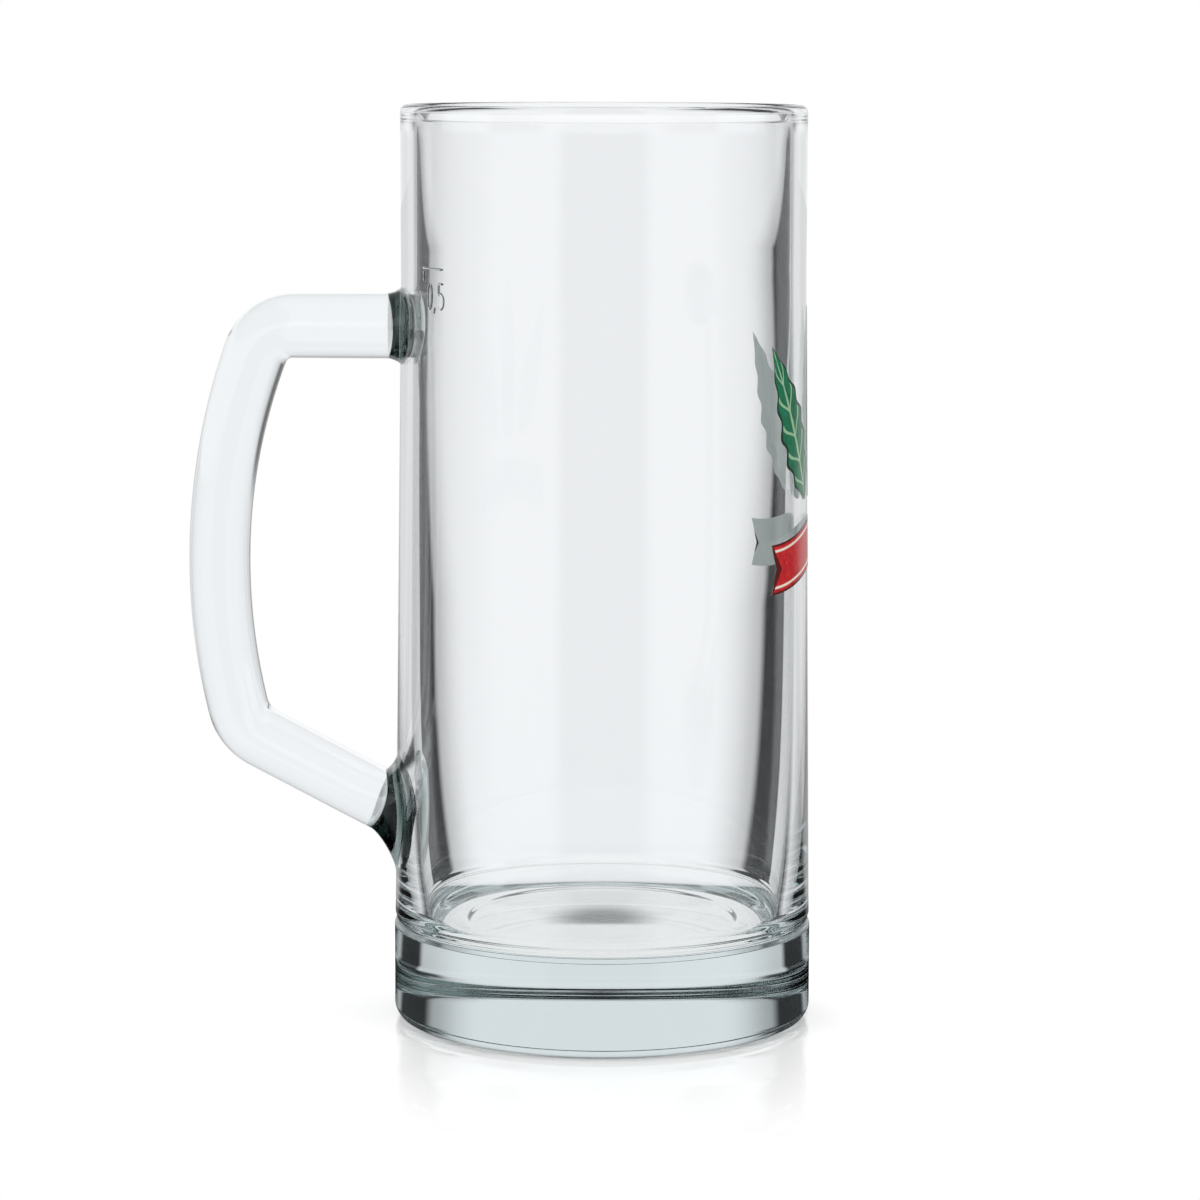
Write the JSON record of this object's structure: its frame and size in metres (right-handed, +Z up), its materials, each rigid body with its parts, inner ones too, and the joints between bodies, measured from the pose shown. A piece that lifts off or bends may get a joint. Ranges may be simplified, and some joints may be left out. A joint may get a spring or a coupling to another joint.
{
  "type": "beer mug",
  "caption": "Tall straight-sided glass beer mug with a heavy solid base, a welded bowed glass handle and a fired leaf and ribbon print opposite the handle.",
  "frame": {"origin": "middle of the underside, on the mug's axis", "axes": "+Z up along the mug's axis, -X towards the handle, +X towards the print, Y across the handle"},
  "size_m": [0.1172, 0.0788, 0.172],
  "materials": {
    "body_glass": "fire-polished clear soda-lime glass, faint green in the thick base",
    "handle_glass": "pressed clear glass, a smooth bar of full oval section",
    "weld_glass": "clear weld glass, drawn out smooth on the wall",
    "hop_enamel": "fired mid-green enamel, satin gloss",
    "leaf_enamel": "fired dark green enamel, satin gloss",
    "ribbon_enamel": "fired red enamel, satin gloss"
  },
  "bodies": {
    "root": {"glass_body": "body_glass", "handle": "handle_glass", "upper_weld": "weld_glass", "lower_weld": "weld_glass", "print_hop_cone": "hop_enamel", "print_leaf_near": "leaf_enamel", "print_leaf_far": "leaf_enamel", "print_ribbon": "ribbon_enamel"}
  },
  "joints": []
}
